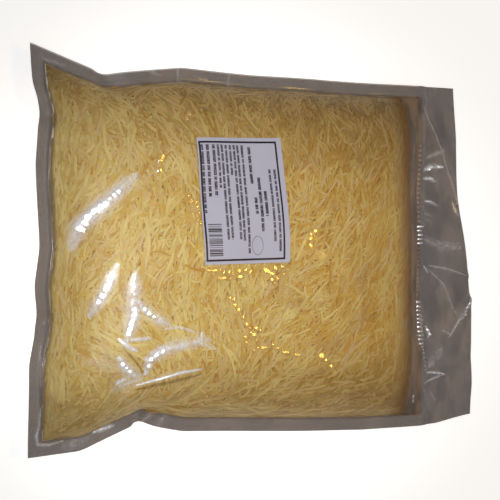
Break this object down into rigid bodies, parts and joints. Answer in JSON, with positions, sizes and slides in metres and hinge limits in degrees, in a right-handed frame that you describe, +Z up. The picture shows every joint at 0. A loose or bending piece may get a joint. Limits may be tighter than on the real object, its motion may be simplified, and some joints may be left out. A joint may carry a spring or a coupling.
{
  "type": "sealed bag of grated cheese",
  "caption": "Clear sealed pouch of grated cheese lying flat, with a loose film flap past its end seal and a paper label on top.",
  "frame": {"origin": "on the table, under the middle of the pouch's outline", "axes": "+X along the pouch towards the loose flap, +Y across it, +Z up out of the labelled front"},
  "size_m": [0.4059, 0.3031, 0.0626],
  "materials": {
    "cheese_in_film": "pale yellow grated cheese under clear glossy film",
    "label_paper": "matt white paper label with plain grey print"
  },
  "bodies": {
    "root": {"bag": "cheese_in_film", "label": "label_paper"}
  },
  "joints": []
}
